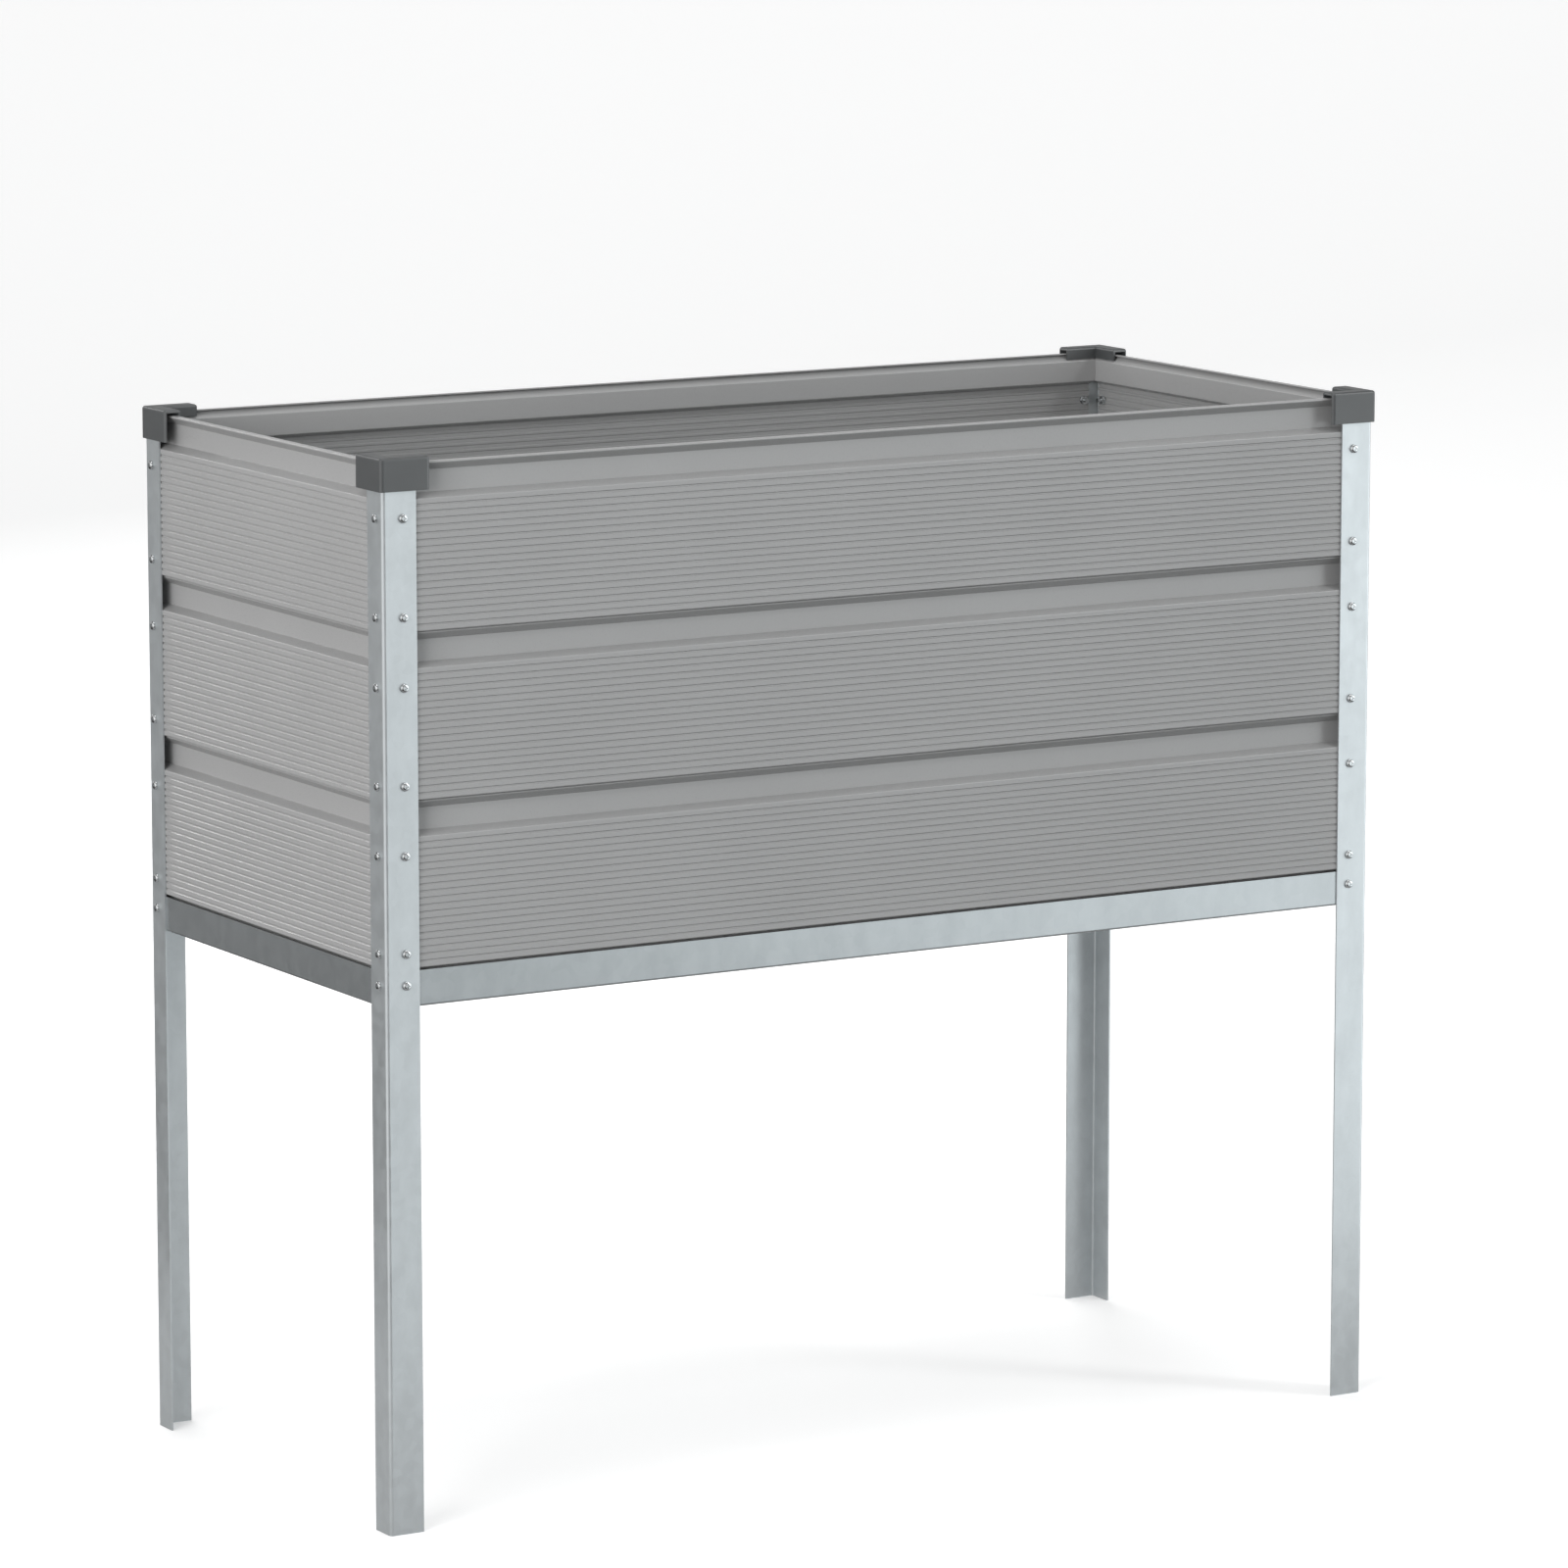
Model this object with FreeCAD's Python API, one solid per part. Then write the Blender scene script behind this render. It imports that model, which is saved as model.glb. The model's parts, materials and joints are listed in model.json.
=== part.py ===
import FreeCAD, Part
import math
import os

# Raised planter on four angle legs: a box of roll-formed steel planks, bolted to
# galvanised corner posts and carried by a ring of angle rails with a drained floor.
# Units are millimetres. X is the long way, -Y is the front, Z is up.
# The origin is at the middle of the footprint, on the ground.

# ---------------------------------------------------------------- overall size
LENGTH = 1000.0            # outside of the posts, along X
WIDTH = 450.0              # outside of the posts, along Y
CLEARANCE = 0.3            # between neighbouring sheet parts

# ---------------------------------------------------------------- corner posts
POST_FACE = 32.0           # flange seen from the front or back
POST_SIDE = 27.0           # flange seen from the side
POST_SHEET = 1.5
POST_HEIGHT = 914.0

# ---------------------------------------------------------------- side planks
PLANK_SHEET = 0.8
PLANK_BASE = 488.5         # height of the lowest plank's bottom edge
PLANK_PITCH = 142.8
PLANK_HEIGHT = 142.4       # just clear of the plank above
PLANKS_PER_SIDE = 3
RIBBED_HEIGHT = 111.9      # bottom edge to the start of the recess
RECESS_DEPTH = 11.0
RECESS_LOW = 115.9         # flat band of the recess, from here
RECESS_HIGH = 134.6        # to here
RIM_SETBACK = 1.5          # top edge behind the face, so the plank above shades it
RIM_FLANGE = 9.5           # fold along the top of a plank
BASE_FLANGE = 10.0         # fold along the bottom of a plank
BASE_LIP = 6.0             # turned down behind the plank below
RIB_COUNT = 18
RIB_PITCH = 5.94
RIB_DEPTH = 0.9
RIB_MOUTH = 2.4            # width of a valley between two ribs, at the face
RIB_FLOOR = 0.8            # and at its bottom
BEND_RADIUS = 0.4          # inside radius of the folds

# ---------------------------------------------------------------- bottom rails
RAIL_SHEET = 1.5
RAIL_BASE = 455.5
RAIL_HEIGHT = 31.0
RAIL_LEDGE = 20.0          # inward flange that carries the floor
RAIL_SCREW = 19.0          # screw height above the rail's bottom

# ---------------------------------------------------------------- floor
CROSSBAR_SHEET = 1.2
CROSSBAR_WIDTH = 24.0
CROSSBAR_HEIGHT = 14.0     # stands on the rails' ledges, under the seams of the trays
TRAY_SHEET = 1.0
TRAY_COUNT = 3
TRAY_GAP = 1.0
TRAY_UPSTAND = 42.0        # outer edges, which lap inside the lowest planks
TRAY_INSET = 12.8          # tray edge to the outside of the posts
TRAY_BEND = 1.5            # inside radius of its folds
SEAM_LAP = 8.0             # flat of the floor that the strip over a cross-bar starts from
DRAIN_DIAMETER = 8.0
DRAIN_ROWS = 3
DRAIN_COLUMNS = 4

# ---------------------------------------------------------------- corner caps
CAP_BASE = 893.6
CAP_TOP = 921.9
CAP_PROUD = 2.5            # outside of the cap beyond the post
CAP_LEG = 47.0             # length of each leg, from the cap's outer corner
CAP_BREADTH = 15.5
CAP_WALL = 2.3
CAP_INNER_WALL = 1.8
CAP_ROOF = 2.7
CAP_INNER_SKIRT = 8.0      # drop of the inner wall below the roof
CAP_EDGE_RADIUS = 2.4
CAP_CORNER_RADIUS = 3.2    # outer corner, and the outer edge at the end of each leg

# ---------------------------------------------------------------- fasteners
SCREW_DIAMETER = 4.0
HOLE_DIAMETER = 4.5
SCREW_LENGTH = 10.0
HEAD_DIAMETER = 7.8
HEAD_HEIGHT = 2.6
HEAD_RIM = 0.9             # straight edge of the head, before it domes
HEAD_FLAT = 3.5            # diameter of the flat on top of the dome
HEAD_SHOULDER = (2.25, 6.1)  # height and diameter of the dome half way up
DRIVE_SPAN = 4.4           # arms of the cross recess
DRIVE_ARM = 1.0
DRIVE_DEPTH = 1.3
NUT_ACROSS_FLATS = 7.0
NUT_HEIGHT = 3.2
NUT_COLLAR_DIAMETER = 8.6
NUT_COLLAR_HEIGHT = 1.0
SCREW_INSET_FACE = 19.5    # screw line to the post's corner, front and back
SCREW_INSET_SIDE = 12.0    # screw line to the post's corner, sides
PLANK_SCREWS = (13.0, 96.4)  # two screws in each end of a plank, above its bottom

# ---------------------------------------------------------------- worked out
HALF_LENGTH = LENGTH / 2
HALF_WIDTH = WIDTH / 2
PLANK_FACE = POST_SHEET                        # plank face behind the post's face
PLANK_BACK = PLANK_FACE + RIB_DEPTH + PLANK_SHEET
PLANK_DEEPEST = PLANK_FACE + RECESS_DEPTH + PLANK_SHEET
CORNER_SETBACK = 2 * POST_SHEET + CLEARANCE    # clears the bend inside a post
SIDE_LENGTH = WIDTH - 2 * CORNER_SETBACK       # side planks and side rails
FACE_PLANK_LENGTH = LENGTH - 2 * (PLANK_DEEPEST + CLEARANCE)
FLOOR_LEVEL = RAIL_BASE + RAIL_SHEET           # top of the ledges
FLOOR_SPAN = LENGTH - 2 * TRAY_INSET
TRAY_LENGTH = (FLOOR_SPAN - (TRAY_COUNT - 1) * TRAY_GAP) / TRAY_COUNT
PLANK_BASES = [PLANK_BASE + tier * PLANK_PITCH for tier in range(PLANKS_PER_SIDE)]
CORNERS = {
    "front_left": (-1, -1),
    "front_right": (1, -1),
    "back_right": (1, 1),
    "back_left": (-1, 1),
}
SIDES = {                  # distance from the middle, and turn about Z from the front
    "front": (HALF_WIDTH, 0),
    "right": (HALF_LENGTH, 90),
    "back": (HALF_WIDTH, 180),
    "left": (HALF_LENGTH, 270),
}
ALONG_X = FreeCAD.Vector(1, 0, 0)
ALONG_Y = FreeCAD.Vector(0, 1, 0)
ALONG_Z = FreeCAD.Vector(0, 0, 1)
MIDDLE = FreeCAD.Vector(0, 0, 0)
EPSILON = 1.0              # how far a cutting tool runs past a surface


# ------------------------------------------------------------ sheet sections
def unit(a, b):
    length = math.hypot(b[0] - a[0], b[1] - a[1])
    return (b[0] - a[0]) / length, (b[1] - a[1]) / length


def offset_path(points, distance):
    """The same open path moved to its right by distance, with mitred corners."""
    shifted = []
    for i, point in enumerate(points):
        before = unit(points[i - 1], point) if i > 0 else unit(point, points[1])
        after = unit(point, points[i + 1]) if i < len(points) - 1 else before
        normal = (before[1] + after[1], -before[0] - after[0])
        scale = distance * 2 / (normal[0] ** 2 + normal[1] ** 2)
        shifted.append((point[0] + normal[0] * scale, point[1] + normal[1] * scale))
    return shifted


def rounded_edges(points, radii, place):
    """Lines along an open path, with an arc at each corner that has a radius."""
    edges = []
    start = points[0]
    for i in range(1, len(points)):
        end = points[i]
        radius = radii[i] if i < len(points) - 1 else 0.0
        if radius == 0.0:
            edges.append(Part.LineSegment(place(start), place(end)).toShape())
            start = end
            continue
        inward = unit(points[i - 1], end)
        outward = unit(end, points[i + 1])
        turn = math.acos(inward[0] * outward[0] + inward[1] * outward[1])
        setback = radius * math.tan(turn / 2)
        first = (end[0] - inward[0] * setback, end[1] - inward[1] * setback)
        last = (end[0] + outward[0] * setback, end[1] + outward[1] * setback)
        aim = unit(end, ((first[0] + last[0]) / 2, (first[1] + last[1]) / 2))
        sagitta = radius / math.cos(turn / 2) - radius
        middle = (end[0] + aim[0] * sagitta, end[1] + aim[1] * sagitta)
        edges.append(Part.LineSegment(place(start), place(first)).toShape())
        edges.append(Part.Arc(place(first), place(middle), place(last)).toShape())
        start = last
    return edges


def sheet_face(path, thickness, bend, place):
    """Cross-section of a folded sheet.

    path lists (a, b, folded) along one skin, with the metal on its right.
    A folded corner gets the inside radius bend, any other corner stays sharp.
    """
    skin = [(a, b) for a, b, folded in path]
    back = offset_path(skin, thickness)
    skin_radii = [0.0] * len(path)
    back_radii = [0.0] * len(path)
    for i in range(1, len(path) - 1):
        if not path[i][2]:
            continue
        before = unit(skin[i - 1], skin[i])
        after = unit(skin[i], skin[i + 1])
        turns_right = before[0] * after[1] - before[1] * after[0] < 0
        skin_radii[i] = bend + thickness if turns_right else bend
        back_radii[i] = bend if turns_right else bend + thickness
    edges = rounded_edges(skin, skin_radii, place)
    edges.append(Part.LineSegment(place(skin[-1]), place(back[-1])).toShape())
    edges += rounded_edges(back[::-1], back_radii[::-1], place)
    edges.append(Part.LineSegment(place(back[0]), place(skin[0])).toShape())
    return Part.Face(Part.Wire(edges))


def in_yz(point):
    return FreeCAD.Vector(0, point[0], point[1])


def in_xy(point):
    return FreeCAD.Vector(point[0], point[1], 0)


def in_xz(point):
    return FreeCAD.Vector(point[0], 0, point[1])


def box(x0, x1, y0, y1, z0, z1):
    """Block between two values along each axis, each pair in either order."""
    corner = FreeCAD.Vector(min(x0, x1), min(y0, y1), min(z0, z1))
    return Part.makeBox(abs(x1 - x0), abs(y1 - y0), abs(z1 - z0), corner)


def rod(diameter, length, start, direction):
    return Part.makeCylinder(diameter / 2, length, FreeCAD.Vector(*start), direction)


def turned(shape, degrees):
    copy = shape.copy()
    copy.rotate(MIDDLE, ALONG_Z, degrees)
    return copy


def moved(shape, x, y, z):
    copy = shape.copy()
    copy.translate(FreeCAD.Vector(x, y, z))
    return copy


def on_side(shape, side):
    """Put a shape made with its outer skin at y = 0, facing -Y, on one side."""
    distance, angle = SIDES[side]
    return turned(moved(shape, 0, -distance, 0), angle)


def drill(shape, holes):
    """Bore screw holes along Y at each (x, z)."""
    for x, z in holes:
        shape = shape.cut(rod(HOLE_DIAMETER, SCREW_LENGTH, (x, -EPSILON, z), ALONG_Y))
    return shape


# ------------------------------------------------------------ planks
def plank_path():
    """Outer skin of a plank, from its bottom lip up to the rim flange."""
    path = [
        (BASE_FLANGE, -BASE_LIP, False),
        (BASE_FLANGE, 0.0, True),
        (0.0, 0.0, True),
    ]
    ribs_span = (RIB_COUNT - 1) * RIB_PITCH
    first_valley = (RIBBED_HEIGHT - ribs_span) / 2
    for rib in range(RIB_COUNT):
        valley = first_valley + rib * RIB_PITCH
        path.append((0.0, valley - RIB_MOUTH / 2, False))
        path.append((RIB_DEPTH, valley - RIB_FLOOR / 2, False))
        path.append((RIB_DEPTH, valley + RIB_FLOOR / 2, False))
        path.append((0.0, valley + RIB_MOUTH / 2, False))
    path += [
        (0.0, RIBBED_HEIGHT, True),
        (RECESS_DEPTH, RECESS_LOW, True),
        (RECESS_DEPTH, RECESS_HIGH, True),
        (RIM_SETBACK, PLANK_HEIGHT, True),
        (RIM_FLANGE, PLANK_HEIGHT, False),
    ]
    return path


def make_plank(length, screw_inset):
    section = sheet_face(plank_path(), PLANK_SHEET, BEND_RADIUS, in_yz)
    plank = section.extrude(ALONG_X * length)
    plank.translate(FreeCAD.Vector(-length / 2, 0, 0))
    holes = [(end * (length / 2 - screw_inset), z) for end in (-1, 1) for z in PLANK_SCREWS]
    return drill(plank, holes)


def plank_nodes():
    face_end = (LENGTH - FACE_PLANK_LENGTH) / 2
    long_plank = make_plank(FACE_PLANK_LENGTH, SCREW_INSET_FACE - face_end)
    short_plank = make_plank(SIDE_LENGTH, SCREW_INSET_SIDE - CORNER_SETBACK)
    planks = {"front": long_plank, "back": long_plank, "left": short_plank, "right": short_plank}
    nodes = {}
    for side, plank in planks.items():
        for tier, name in enumerate(("lower", "middle", "upper")):
            raised = moved(plank, 0, PLANK_FACE, PLANK_BASES[tier])
            nodes[f"plank_{side}_{name}"] = on_side(raised, side)
    return nodes


# ------------------------------------------------------------ posts
def make_post(face_arm, side_arm):
    """Angle post with its corner at the origin, arms along +X and +Y."""
    path = [
        (0.0, side_arm, False),
        (0.0, 0.0, True),
        (face_arm, 0.0, False),
    ]
    # The metal lies on the left of this path, so it is followed backwards.
    section = sheet_face(path[::-1], POST_SHEET, POST_SHEET, in_xy)
    return section.extrude(ALONG_Z * POST_HEIGHT)


def screw_heights():
    heights = [RAIL_BASE + RAIL_SCREW]
    for base in PLANK_BASES:
        heights += [base + height for height in PLANK_SCREWS]
    return heights


def post_nodes():
    post = make_post(POST_FACE, POST_SIDE)
    through = POST_SHEET + 2 * EPSILON
    for z in screw_heights():
        post = post.cut(rod(HOLE_DIAMETER, through, (SCREW_INSET_FACE, -EPSILON, z), ALONG_Y))
        post = post.cut(rod(HOLE_DIAMETER, through, (-EPSILON, SCREW_INSET_SIDE, z), ALONG_X))
    return {f"post_{corner}": at_corner(post, corner) for corner in CORNERS}


def at_corner(shape, corner):
    """Put a shape made for the front left corner on the named corner, mirrored as needed."""
    sign_x, sign_y = CORNERS[corner]
    placed = shape.copy()
    if sign_x > 0:
        placed = placed.mirror(MIDDLE, ALONG_X)
    if sign_y > 0:
        placed = placed.mirror(MIDDLE, ALONG_Y)
    return moved(placed, sign_x * HALF_LENGTH, sign_y * HALF_WIDTH, 0)


# ------------------------------------------------------------ rails
def make_rail(length, screw_inset, ledge_cope):
    """Angle rail along X with its upright face at y = 0 and its ledge inward."""
    path = [
        (RAIL_LEDGE, 0.0, False),
        (0.0, 0.0, True),
        (0.0, RAIL_HEIGHT, False),
    ]
    section = sheet_face(path, RAIL_SHEET, BEND_RADIUS, in_yz)
    rail = section.extrude(ALONG_X * length)
    rail.translate(FreeCAD.Vector(-length / 2, 0, 0))
    rail = drill(rail, [(end * (length / 2 - screw_inset), RAIL_SCREW) for end in (-1, 1)])
    if ledge_cope > 0:
        bend_top = RAIL_SHEET + BEND_RADIUS
        for end in (-1, 1):
            tip = end * (length / 2 + EPSILON)
            root = end * (length / 2 - ledge_cope)
            rail = rail.cut(box(tip, root, RAIL_SHEET, RAIL_LEDGE + EPSILON, -EPSILON, bend_top))
    return rail


def rail_nodes():
    face_start = POST_SHEET + RAIL_SHEET + CLEARANCE
    face_length = LENGTH - 2 * face_start
    cope = POST_SHEET + RAIL_LEDGE + CLEARANCE - face_start
    long_rail = make_rail(face_length, SCREW_INSET_FACE - face_start, cope)
    short_rail = make_rail(SIDE_LENGTH, SCREW_INSET_SIDE - CORNER_SETBACK, 0.0)
    rails = {"front": long_rail, "back": long_rail, "left": short_rail, "right": short_rail}
    return {
        f"rail_{side}": on_side(moved(rail, 0, POST_SHEET, RAIL_BASE), side)
        for side, rail in rails.items()
    }


# ------------------------------------------------------------ floor
def make_crossbar():
    """Channel along Y, open below, that stands on the rails' ledges."""
    half = CROSSBAR_WIDTH / 2
    path = [
        (-half, 0.0, False),
        (-half, CROSSBAR_HEIGHT, True),
        (half, CROSSBAR_HEIGHT, True),
        (half, 0.0, False),
    ]
    reach = HALF_WIDTH - POST_SHEET - RAIL_SHEET - BEND_RADIUS - CLEARANCE
    section = sheet_face(path, CROSSBAR_SHEET, BEND_RADIUS, in_xz)
    return moved(section.extrude(ALONG_Y * (2 * reach)), 0, -reach, 0)


def rounded_block(half, depth, z0, z1, radius):
    """Block centred on X and Y, with its upright and bottom edges rounded."""
    block = box(-half, half, -depth, depth, z0, z1)
    edges = [edge for edge in block.Edges
             if edge.BoundBox.ZLength > EPSILON or edge.BoundBox.ZMax < z0 + EPSILON / 2]
    return block.makeFillet(radius, edges)


def make_tray(length, left_is_seam, right_is_seam):
    """Folded floor pan centred on X, on z = 0.

    An edge at a wall turns up. An edge at a seam steps up and over half of the cross-bar,
    and the front and back edges are notched there to let the bar through.
    """
    depth = HALF_WIDTH - TRAY_INSET
    half = length / 2
    sheet = TRAY_SHEET
    outer = rounded_block(half, depth, 0.0, TRAY_UPSTAND, TRAY_BEND + sheet)
    hollow = rounded_block(half - sheet, depth - sheet, sheet, TRAY_UPSTAND + EPSILON, TRAY_BEND)
    tray = outer.cut(hollow)
    bar_reach = (CROSSBAR_WIDTH - TRAY_GAP) / 2 + CLEARANCE
    for sign, is_seam in ((-1, left_is_seam), (1, right_is_seam)):
        if not is_seam:
            continue
        end = sign * half
        bar_side = sign * (half - bar_reach)
        floor_end = bar_side - sign * SEAM_LAP
        past = end + sign * EPSILON
        edge_in = depth - sheet
        # The end of the pan goes, but its front and back edges stay, and are one plain sheet.
        over = TRAY_UPSTAND + EPSILON
        tray = tray.cut(box(floor_end, past, -depth - EPSILON, depth + EPSILON, -EPSILON, over))
        for side in (-1, 1):
            edge = box(floor_end, end, side * edge_in, side * depth, 0, TRAY_UPSTAND)
            tray = tray.fuse(edge)
        path = [
            (floor_end, 0.0, False),
            (bar_side, 0.0, True),
            (bar_side, CROSSBAR_HEIGHT, True),
            (end, CROSSBAR_HEIGHT, False),
        ]
        # The metal is above this line, which is on its left going towards +X.
        strip = sheet_face(path if sign < 0 else path[::-1], sheet, TRAY_BEND, in_xz)
        strip = moved(strip.extrude(ALONG_Y * (2 * depth)), 0, -depth, 0)
        notch = box(bar_side, past, -depth - EPSILON, depth + EPSILON, -EPSILON, CROSSBAR_HEIGHT)
        tray = tray.cut(notch).fuse(strip)
    for row in range(DRAIN_ROWS):
        for column in range(DRAIN_COLUMNS):
            x = (length - 2 * bar_reach) * ((column + 0.5) / DRAIN_COLUMNS - 0.5)
            y = 2 * depth * ((row + 0.5) / DRAIN_ROWS - 0.5)
            tray = tray.cut(rod(DRAIN_DIAMETER, 3 * sheet, (x, y, -sheet), ALONG_Z))
    return tray.removeSplitter()


def floor_nodes():
    step = TRAY_LENGTH + TRAY_GAP
    seam = step / 2
    crossbar = make_crossbar()
    return {
        "floor_tray_left": moved(make_tray(TRAY_LENGTH, False, True), -step, 0, FLOOR_LEVEL),
        "floor_tray_middle": moved(make_tray(TRAY_LENGTH, True, True), 0, 0, FLOOR_LEVEL),
        "floor_tray_right": moved(make_tray(TRAY_LENGTH, True, False), step, 0, FLOOR_LEVEL),
        "crossbar_left": moved(crossbar, -seam, 0, FLOOR_LEVEL),
        "crossbar_right": moved(crossbar, seam, 0, FLOOR_LEVEL),
    }


# ------------------------------------------------------------ corner caps
def angle_prism(near, far, leg, z0, z1):
    """L-shaped prism: legs from near to leg along X and Y, and near to far broad."""
    outline = [(near, near), (leg, near), (leg, far), (far, far), (far, leg), (near, leg), (near, near)]
    face = Part.Face(Part.makePolygon([in_xy(point) for point in outline]))
    return moved(face.extrude(ALONG_Z * (z1 - z0)), 0, 0, z0)


def make_cap():
    """Moulded cap for the front left corner, with the post's corner at x = y = 0."""
    near = -CAP_PROUD
    far = near + CAP_BREADTH
    leg = near + CAP_LEG
    cap = angle_prism(near, far, leg, CAP_BASE, CAP_TOP)
    outside = [edge for edge in cap.Edges
               if edge.BoundBox.ZLength > EPSILON and min(edge.BoundBox.XMax, edge.BoundBox.YMax) < 0]
    cap = cap.makeFillet(CAP_CORNER_RADIUS, outside)
    rim = [edge for edge in cap.Edges if edge.BoundBox.ZMin > CAP_BASE + EPSILON]
    cap = cap.makeFillet(CAP_EDGE_RADIUS, rim)
    slot_near = near + CAP_WALL
    slot_far = far - CAP_INNER_WALL
    past = leg + EPSILON
    roof = CAP_TOP - CAP_ROOF
    cap = cap.cut(angle_prism(slot_near, slot_far, past, CAP_BASE - EPSILON, roof))
    cap = cap.cut(box(slot_near, past, slot_near, past, CAP_BASE - EPSILON, roof - CAP_INNER_SKIRT))
    return cap


def cap_nodes():
    cap = make_cap()
    return {f"cap_{corner}": at_corner(cap, corner) for corner in CORNERS}


# ------------------------------------------------------------ fasteners
def make_screw():
    """Pan-head screw along +Y, with the underside of its head at y = 0."""
    rim = (-HEAD_RIM, HEAD_DIAMETER / 2)
    shoulder = (-HEAD_SHOULDER[0], HEAD_SHOULDER[1] / 2)
    flat = (-HEAD_HEIGHT, HEAD_FLAT / 2)
    foot = (0.0, HEAD_DIAMETER / 2)
    axis_top = (-HEAD_HEIGHT, 0.0)
    axis_foot = (0.0, 0.0)
    profile = [
        Part.LineSegment(in_yz(axis_foot), in_yz(foot)).toShape(),
        Part.LineSegment(in_yz(foot), in_yz(rim)).toShape(),
        Part.Arc(in_yz(rim), in_yz(shoulder), in_yz(flat)).toShape(),
        Part.LineSegment(in_yz(flat), in_yz(axis_top)).toShape(),
        Part.LineSegment(in_yz(axis_top), in_yz(axis_foot)).toShape(),
    ]
    head = Part.Face(Part.Wire(profile)).revolve(MIDDLE, ALONG_Y, 360)
    span = DRIVE_SPAN / 2
    arm = DRIVE_ARM / 2
    front = -HEAD_HEIGHT - EPSILON
    back = -HEAD_HEIGHT + DRIVE_DEPTH
    recess = box(-span, span, front, back, -arm, arm).fuse(box(-arm, arm, front, back, -span, span))
    shank = rod(SCREW_DIAMETER, SCREW_LENGTH, (0, 0, 0), ALONG_Y)
    return head.cut(recess).fuse(shank)


def make_nut():
    """Collar nut along +Y, with its seat at y = 0."""
    to_corner = NUT_ACROSS_FLATS / 2 / math.cos(math.pi / 6)
    turns = [side * math.pi / 3 for side in range(7)]
    points = [in_xz((to_corner * math.cos(turn), to_corner * math.sin(turn))) for turn in turns]
    body = Part.Face(Part.makePolygon(points)).extrude(ALONG_Y * NUT_HEIGHT)
    collar = rod(NUT_COLLAR_DIAMETER, NUT_COLLAR_HEIGHT, (0, 0, 0), ALONG_Y)
    bore = rod(SCREW_DIAMETER, NUT_HEIGHT + 2 * EPSILON, (0, -EPSILON, 0), ALONG_Y)
    return body.fuse(collar).cut(bore)


def through_corner(shape_y, seats):
    """Copies of a fastener made along +Y, on both screw lines of the front left corner.

    seats gives the distance from the post's outer face to the fastener's seat at each height.
    """
    copies = []
    shape_x = turned(shape_y, -90)
    for z, seat in seats.items():
        copies.append(moved(shape_y, SCREW_INSET_FACE, seat, z))
        copies.append(moved(shape_x, seat, SCREW_INSET_SIDE, z))
    return Part.makeCompound(copies)


def fastener_nodes():
    heights = screw_heights()
    head_seats = {z: 0.0 for z in heights}
    nut_seats = {z: PLANK_BACK for z in heights}
    nut_seats[heights[0]] = POST_SHEET + RAIL_SHEET
    screws = through_corner(make_screw(), head_seats)
    nuts = through_corner(make_nut(), nut_seats)
    nodes = {}
    for corner in CORNERS:
        nodes[f"screws_{corner}"] = at_corner(screws, corner)
        nodes[f"nuts_{corner}"] = at_corner(nuts, corner)
    return nodes


# ------------------------------------------------------------ whole object
def build():
    nodes = {}
    nodes.update(post_nodes())
    nodes.update(plank_nodes())
    nodes.update(rail_nodes())
    nodes.update(floor_nodes())
    nodes.update(cap_nodes())
    nodes.update(fastener_nodes())
    return nodes


os.makedirs("parts", exist_ok=True)
for node, shape in build().items():
    shape.exportStep(f"parts/{node}.step")
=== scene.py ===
import json
import math

import bpy
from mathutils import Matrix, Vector

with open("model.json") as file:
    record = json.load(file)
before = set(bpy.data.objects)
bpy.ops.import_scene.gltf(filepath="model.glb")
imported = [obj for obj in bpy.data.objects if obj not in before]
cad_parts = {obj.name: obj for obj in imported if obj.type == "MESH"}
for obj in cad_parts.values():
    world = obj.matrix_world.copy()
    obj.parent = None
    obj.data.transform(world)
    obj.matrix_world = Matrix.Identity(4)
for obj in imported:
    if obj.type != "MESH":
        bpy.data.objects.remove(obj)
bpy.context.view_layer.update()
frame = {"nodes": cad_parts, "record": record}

# Raised planter on legs. Metres, +Z up, -Y is the front.

# ---------------------------------------------------------------- the view
CAMERA_PLACE = (-3.386, -5.774, 1.680)
CAMERA_YAW = 30.54          # degrees turned towards +X from straight ahead
CAMERA_PITCH = 9.38         # degrees down
CAMERA_LENS = 173.9         # millimetres
CAMERA_SENSOR = 36.0        # millimetres
CAMERA_REACH = 100.0        # how far it sees

# ---------------------------------------------------------------- the floor and backdrop
SWEEP_HALF_WIDTH = 14.0
SWEEP_FRONT = -12.0
SWEEP_BACK = 7.0
SWEEP_TOP = 9.0
SWEEP_RADIUS = 3.0          # of the curve from floor to backdrop
SWEEP_STEPS = 24            # flat faces in that curve
SWEEP_GLOW = 0.30
# glowing sheet seen only in reflections: a painted reflection of a pale floor under the legs
REFLECTOR_HALF_LENGTH = 1.0
REFLECTOR_HALF_WIDTH = 0.75
REFLECTOR_HEIGHT = 0.0005
REFLECTOR_GLOW = 0.40

# ---------------------------------------------------------------- the light
# Directions are azimuth and elevation in degrees: azimuth 0 is in front, and positive is to the right.
LAMPS_AIM = Vector((0.0, 0.0, 0.5))
# name, azimuth, elevation, distance, size, power in watts, whether shiny surfaces mirror it
LAMPS = [
    ("key", -62, 13, 4.5, (2.4, 1.6), 108, False),
    ("back", 165, 25, 4.5, (3.0, 2.4), 85, False),
    ("top", 0, 88, 4.0, (2.5, 2.5), 34, True),
    ("edge_right", 46, 38, 5.0, (0.6, 0.6), 34, True),
    ("edge_back", -166, 24, 5.0, (0.6, 0.6), 16, True),
]
WHITE = (1.0, 1.0, 1.0)
COOL = (0.95, 1.01, 1.03)
BELOW = (0.04, 0.04, 0.04)
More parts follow.
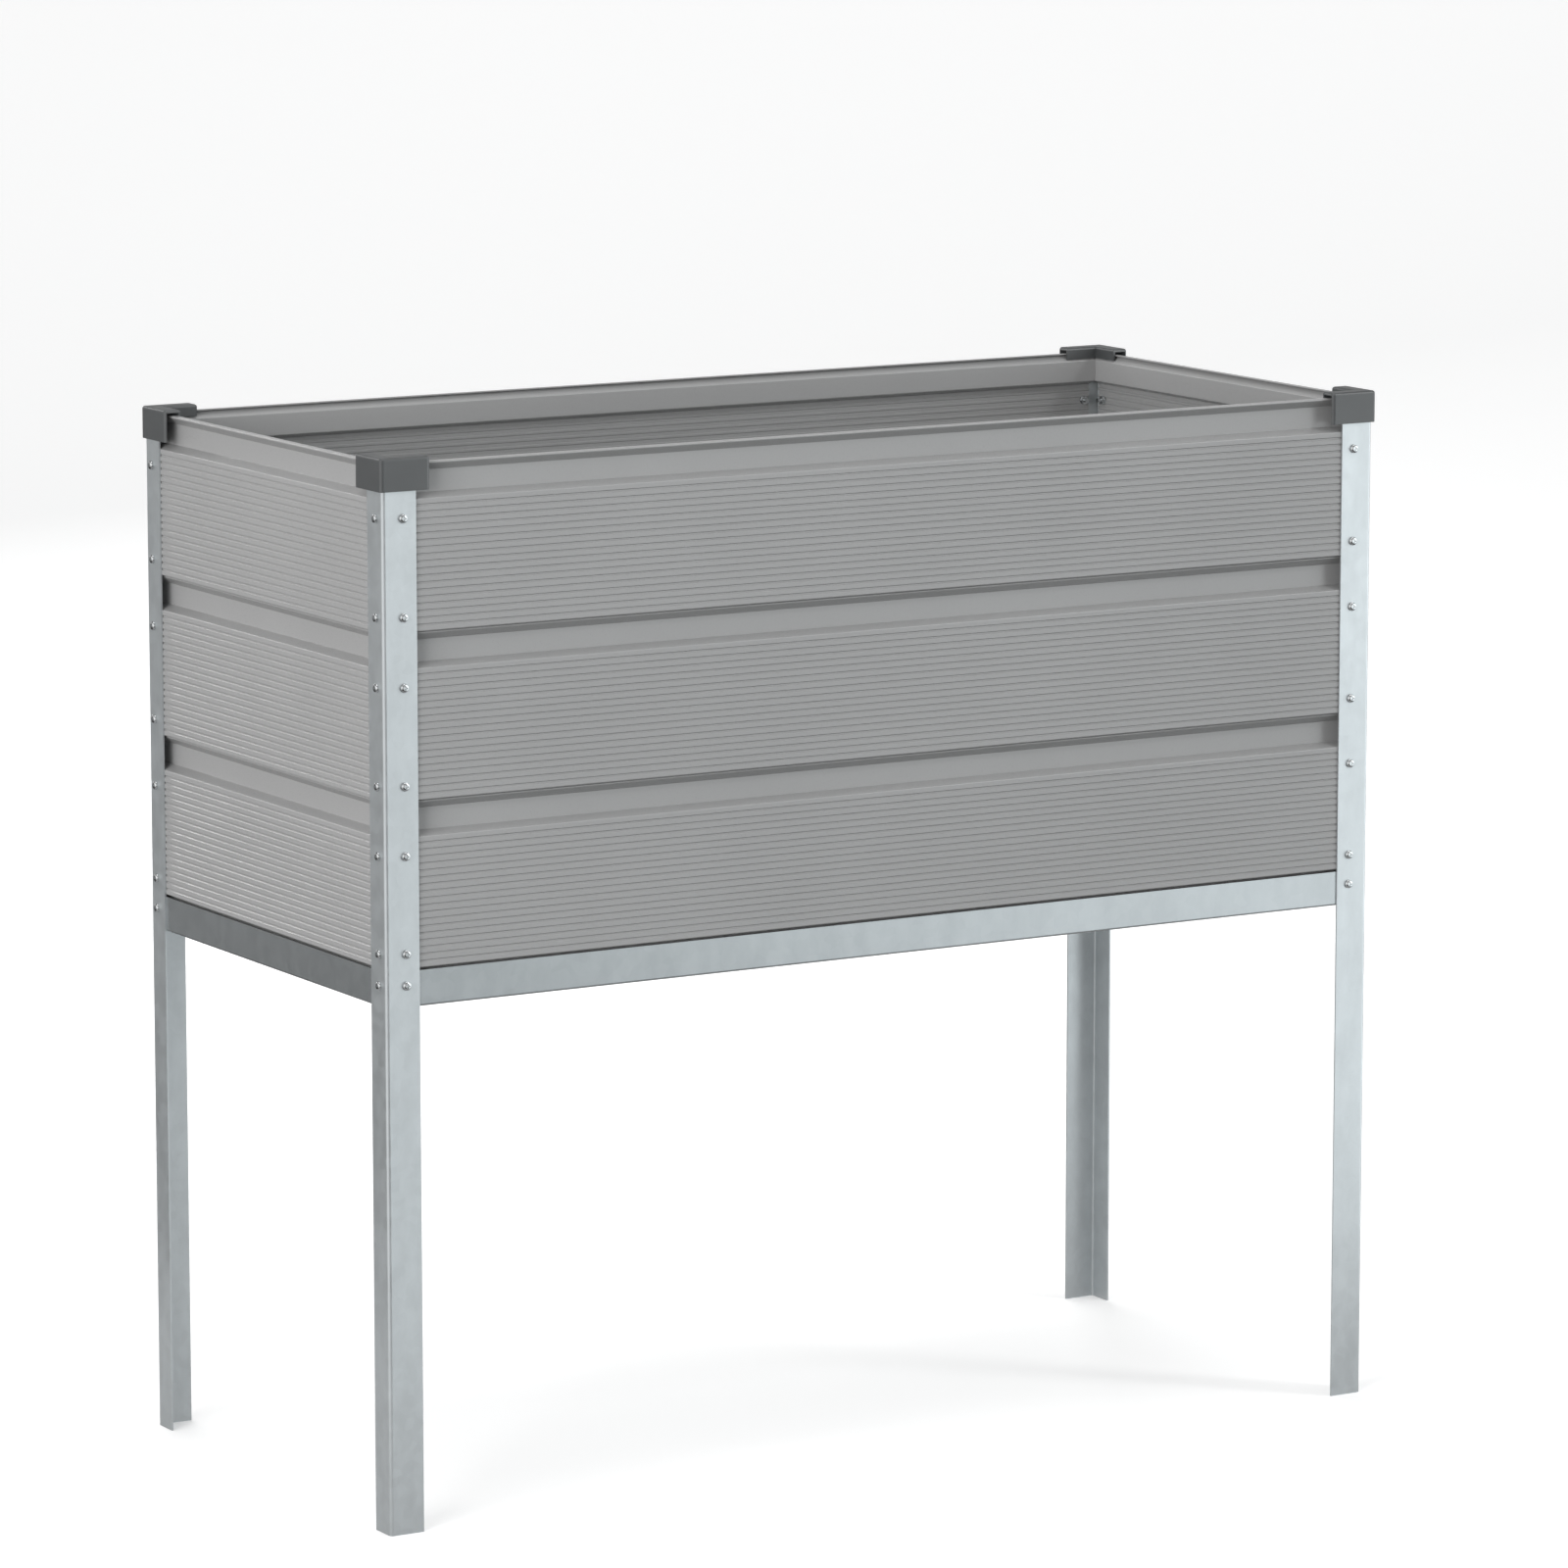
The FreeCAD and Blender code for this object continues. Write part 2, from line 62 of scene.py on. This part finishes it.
# azimuth, elevation, cosines of the angles from there where it starts and is full, brightness, tint
SURROUND = [
    (0, 90, -0.28, 0.02, 0.52, WHITE),      # everything above the horizon
    (0, 90, 0.30, 0.60, -0.40, WHITE),      # dimmer again higher up
    (0, 90, 0.85, 0.97, 0.90, WHITE),       # straight above
    (58, 1, 0.78, 0.93, 1.62, COOL),        # what the front faces mirror
    (-75, 8, 0.50, 0.97, 0.80, WHITE),      # the left
]

# A Mix node has its A, B and Result once for each kind of value, so those for colours go by number.
MIX_FACTOR, MIX_A, MIX_B, MIX_RESULT = 0, 6, 7, 2
RANGE_SOCKETS = ("From Min", "From Max", "To Min", "To Max")

scene = bpy.context.scene


# ---------------------------------------------------------------- small helpers for node trees
class Tree:
    """The nodes of a material or of the world, being put together."""

    def __init__(self, holder, shader, place):
        holder.use_nodes = True
        self.holder = holder
        self.nodes = holder.node_tree.nodes
        self.links = holder.node_tree.links
        self.shader = self.nodes[shader]
        self.place = self.add("ShaderNodeTexCoord").outputs[place]

    def add(self, kind, **values):
        node = self.nodes.new(kind)
        for key, value in values.items():
            setattr(node, key, value)
        return node

    def feed(self, value, socket):
        if isinstance(value, bpy.types.NodeSocket):
            self.links.new(value, socket)
        else:
            socket.default_value = value

    def vector(self, operation, *values):
        """A sum or product of vectors; each value is a socket or fixed."""
        node = self.add("ShaderNodeVectorMath", operation=operation)
        for value, socket in zip(values, node.inputs):
            self.feed(value, socket)
        return node.outputs["Value" if operation == "DOT_PRODUCT" else "Vector"]

    def stretched(self, *factors):
        """The place times a factor for each axis: a pattern made on it is longer where that is under 1."""
        return self.vector("MULTIPLY", self.place, factors)

    def noise(self, scale, detail=3.0, rough=0.5, vector=None):
        """Noise with about scale lumps per metre."""
        node = self.add("ShaderNodeTexNoise")
        self.feed(vector or self.place, node.inputs["Vector"])
        node.inputs["Scale"].default_value = scale
        node.inputs["Detail"].default_value = detail
        node.inputs["Roughness"].default_value = rough
        return node.outputs["Fac"]

    def wander(self, scale, amount):
        """A vector that wanders by amount metres, to bend a pattern out of line."""
        node = self.add("ShaderNodeTexNoise")
        self.feed(self.place, node.inputs["Vector"])
        node.inputs["Scale"].default_value = scale
        return self.vector("MULTIPLY_ADD", node.outputs["Color"], (2 * amount,) * 3, (-amount,) * 3)

    def cells(self, scale, vector):
        """A random colour for each cell, with about scale cells per metre."""
        node = self.add("ShaderNodeTexVoronoi")
        self.feed(vector, node.inputs["Vector"])
        node.inputs["Scale"].default_value = scale
        return node.outputs["Color"]

    def ranged(self, value, low, high, to_low, to_high, interpolation="LINEAR"):
        """The value, moved so that low becomes to_low and high becomes to_high, and kept between them."""
        node = self.add("ShaderNodeMapRange", interpolation_type=interpolation)
        self.feed(value, node.inputs["Value"])
        for name, number in zip(RANGE_SOCKETS, (low, high, to_low, to_high)):
            node.inputs[name].default_value = number
        return node.outputs["Result"]

    def sum(self, a, b):
        node = self.add("ShaderNodeMath", operation="ADD")
        self.feed(a, node.inputs[0])
        self.feed(b, node.inputs[1])
        return node.outputs["Value"]

    def mixed(self, factor, a, b):
        node = self.add("ShaderNodeMix", data_type="RGBA")
        self.feed(factor, node.inputs[MIX_FACTOR])
        self.feed(a, node.inputs[MIX_A])
        self.feed(b, node.inputs[MIX_B])
        return node.outputs[MIX_RESULT]

    def bump(self, height, strength, distance):
        node = self.add("ShaderNodeBump")
        self.feed(height, node.inputs["Height"])
        node.inputs["Strength"].default_value = strength
        node.inputs["Distance"].default_value = distance
        self.links.new(node.outputs["Normal"], self.shader.inputs["Normal"])

    def set(self, **values):
        """Feeds the shader's sockets; an underscore stands for the space in a socket's name."""
        for name, value in values.items():
            self.feed(value, self.shader.inputs[name.replace("_", " ")])


def surface(name):
    return Tree(bpy.data.materials.new(name), "Principled BSDF", "Object")


def grey(value, blue=0.0):
    """A grey; blue is how much more blue than red it has."""
    return (value, value * (1 + 0.7 * blue), value * (1 + blue), 1.0)


# ---------------------------------------------------------------- materials
def powder_coat():
    """Satin paint baked on sheet: fine orange peel, a few specks and a slow drift in tone."""
    tree = surface("plank_coat")
    orange_peel = tree.noise(1300.0, detail=2.0)
    drift = tree.noise(7.0, detail=4.0)
    speck = tree.noise(2600.0, detail=1.0)
    tone = tree.sum(tree.ranged(drift, 0.3, 0.7, 0.0, 0.75), tree.ranged(speck, 0.35, 0.65, 0.0, 0.25))
    colour = tree.mixed(tone, grey(0.322), grey(0.344))
    tree.set(Base_Color=colour, Roughness=tree.ranged(orange_peel, 0.3, 0.7, 0.26, 0.36))
    tree.bump(orange_peel, strength=0.14, distance=0.00015)
    return tree.holder


def galvanised(name, value, blue, metal, rough, crystal):
    """Hot-dip zinc: crystals of about the given size, drawn-out cloudy patches and fine pitting.

    metal is how much of it mirrors as metal, under its dull weathered skin, and rough is the lowest and
    highest roughness.
    """
    tree = surface(name)
    warped = tree.vector("ADD", tree.place, tree.wander(40.0, 0.25 * crystal))
    crystals = tree.cells(1.0 / crystal, warped)
    clouds = tree.noise(55.0, detail=4.0, rough=0.6, vector=tree.stretched(1.0, 1.0, 0.45))
    pitting = tree.noise(1800.0, detail=2.0)
    tone = tree.sum(tree.ranged(crystals, 0.2, 0.8, -0.22, 0.22), tree.ranged(clouds, 0.3, 0.7, 0.0, 1.0))
    darkest = grey(value * 0.945, blue)
    lightest = grey(value * 1.045, blue)
    colour = tree.mixed(tree.ranged(tone, 0.0, 1.0, 0.0, 1.0), darkest, lightest)
    polish = tree.sum(tree.ranged(crystals, 0.2, 0.8, 0.0, 0.6), tree.ranged(pitting, 0.3, 0.7, 0.0, 0.4))
    tree.set(Base_Color=colour, Metallic=metal, Roughness=tree.ranged(polish, 0.0, 1.0, *rough))
    relief = tree.sum(tree.ranged(crystals, 0.0, 1.0, 0.0, 0.35), pitting)
    tree.bump(relief, strength=0.10, distance=0.00008)
    return tree.holder


def moulded_plastic():
    """Spark-eroded mould grain, with faint flow marks and slightly paler worn high spots."""
    tree = surface("cap_plastic")
    grain = tree.noise(2400.0, detail=3.0)
    flow = tree.noise(26.0, detail=3.0, vector=tree.stretched(1.0, 1.0, 2.5))
    tone = tree.sum(tree.ranged(flow, 0.3, 0.7, 0.0, 0.7), tree.ranged(grain, 0.4, 0.7, 0.0, 0.3))
    colour = tree.mixed(tone, grey(0.050, 0.10), grey(0.060, 0.10))
    rough = tree.ranged(grain, 0.3, 0.7, 0.36, 0.48)
    tree.set(Base_Color=colour, Roughness=rough, Specular_IOR_Level=1.0)
    tree.bump(grain, strength=0.22, distance=0.0001)
    return tree.holder


def bright_zinc():
    """Electroplated screws: bright, with fine turning marks and a little haze."""
    tree = surface("fastener_zinc")
    haze = tree.noise(420.0, detail=3.0)
    marks = tree.noise(5200.0, detail=1.0)
    colour = tree.mixed(tree.ranged(haze, 0.3, 0.7, 0.0, 1.0), grey(0.58, 0.05), grey(0.68, 0.03))
    tree.set(Base_Color=colour, Metallic=1.0, Roughness=tree.ranged(haze, 0.3, 0.7, 0.14, 0.24))
    tree.bump(marks, strength=0.08, distance=0.00004)
    return tree.holder


MATERIALS = {
    "plank_coat": powder_coat(),
    "post_zinc": galvanised("post_zinc", value=0.615, blue=0.08, metal=0.80,
                            rough=(0.34, 0.46), crystal=0.009),
    "rail_zinc": galvanised("rail_zinc", value=0.42, blue=0.08, metal=0.72,
                            rough=(0.13, 0.20), crystal=0.011),
    "floor_zinc": galvanised("floor_zinc", value=0.52, blue=0.07, metal=0.85,
                             rough=(0.28, 0.40), crystal=0.014),
    "cap_plastic": moulded_plastic(),
    "fastener_zinc": bright_zinc(),
}
for part in frame["record"]["subparts"]:
    mesh = frame["nodes"][part["node"]].data
    mesh.materials.clear()
    mesh.materials.append(MATERIALS[part["material_slot"]])


# ---------------------------------------------------------------- stage
def plain(name, value, rough, glow):
    tree = surface(name)
    tree.set(Base_Color=grey(value), Roughness=rough, Emission_Color=grey(1.0), Emission_Strength=glow)
    return tree.holder


def sheet(name, points, faces, material):
    mesh = bpy.data.meshes.new(name)
    mesh.from_pydata(points, [], faces)
    mesh.materials.append(material)
    thing = bpy.data.objects.new(name, mesh)
    scene.collection.objects.link(thing)
    return thing


def sweep():
    """Floor that curves up into a backdrop behind the object."""
    line = [(SWEEP_FRONT, 0.0)]
    for i in range(SWEEP_STEPS + 1):
        turn = math.pi / 2 * i / SWEEP_STEPS
        line.append((SWEEP_BACK - SWEEP_RADIUS + SWEEP_RADIUS * math.sin(turn),
                     SWEEP_RADIUS - SWEEP_RADIUS * math.cos(turn)))
    line.append((SWEEP_BACK, SWEEP_TOP))
    points = [(x, y, z) for y, z in line for x in (-SWEEP_HALF_WIDTH, SWEEP_HALF_WIDTH)]
    faces = [(2 * i, 2 * i + 1, 2 * i + 3, 2 * i + 2) for i in range(len(line) - 1)]
    thing = sheet("sweep", points, faces, plain("sweep_paper", 0.85, 0.9, SWEEP_GLOW))
    for face in thing.data.polygons:
        face.use_smooth = True
    thing.rotation_euler = (0.0, 0.0, math.radians(-CAMERA_YAW))
    thing.visible_diffuse = False
    thing.visible_glossy = False
    return thing


def reflector():
    """Glowing sheet on the floor, seen only in reflections: a painted reflection of a pale floor, so that
    the legs aren't black from above.
    """
    corners = ((-1, -1), (1, -1), (1, 1), (-1, 1))
    points = [(x * REFLECTOR_HALF_LENGTH, y * REFLECTOR_HALF_WIDTH, REFLECTOR_HEIGHT)
              for x, y in corners]
    thing = sheet("reflector", points, [(0, 1, 2, 3)], plain("reflector_glow", 0.0, 1.0, REFLECTOR_GLOW))
    thing.visible_camera = False
    thing.visible_diffuse = False
    thing.visible_shadow = False
    return thing


def direction(azimuth, elevation):
    """Unit vector out from the object."""
    a, e = math.radians(azimuth), math.radians(elevation)
    return Vector((math.sin(a) * math.cos(e), -math.cos(a) * math.cos(e), math.sin(e)))


def lamp(name, azimuth, elevation, distance, size, power, mirrored):
    """Area lamp that shines on the middle of the object."""
    away = direction(azimuth, elevation)
    light = bpy.data.lights.new(name, "AREA")
    light.shape = "RECTANGLE"
    light.size, light.size_y = size
    light.energy = power
    thing = bpy.data.objects.new(name, light)
    thing.location = LAMPS_AIM + away * distance
    thing.rotation_euler = away.to_track_quat("Z", "Y").to_euler()
    thing.visible_glossy = mirrored
    scene.collection.objects.link(thing)


def surround():
    """Soft light from all round: BELOW everywhere, plus the glows that SURROUND lists."""
    tree = Tree(bpy.data.worlds.new("studio"), "Background", "Generated")
    total = BELOW
    for azimuth, elevation, outer, inner, brightness, tint in SURROUND:
        nearness = tree.vector("DOT_PRODUCT", tree.place, direction(azimuth, elevation))
        fade = tree.ranged(nearness, outer, inner, 0.0, brightness, "SMOOTHSTEP")
        total = tree.vector("ADD", total, tree.vector("MULTIPLY", tint, fade))
    tree.set(Color=total)
    scene.world = tree.holder


sweep()
reflector()
for values in LAMPS:
    lamp(*values)
surround()
scene.view_settings.view_transform = "Standard"

camera_data = bpy.data.cameras.new("camera")
camera_data.lens = CAMERA_LENS
camera_data.sensor_width = CAMERA_SENSOR
camera_data.clip_end = CAMERA_REACH
camera = bpy.data.objects.new("camera", camera_data)
camera.location = CAMERA_PLACE
camera.rotation_euler = (math.radians(90 - CAMERA_PITCH), 0.0, math.radians(-CAMERA_YAW))
scene.collection.objects.link(camera)
scene.camera = camera
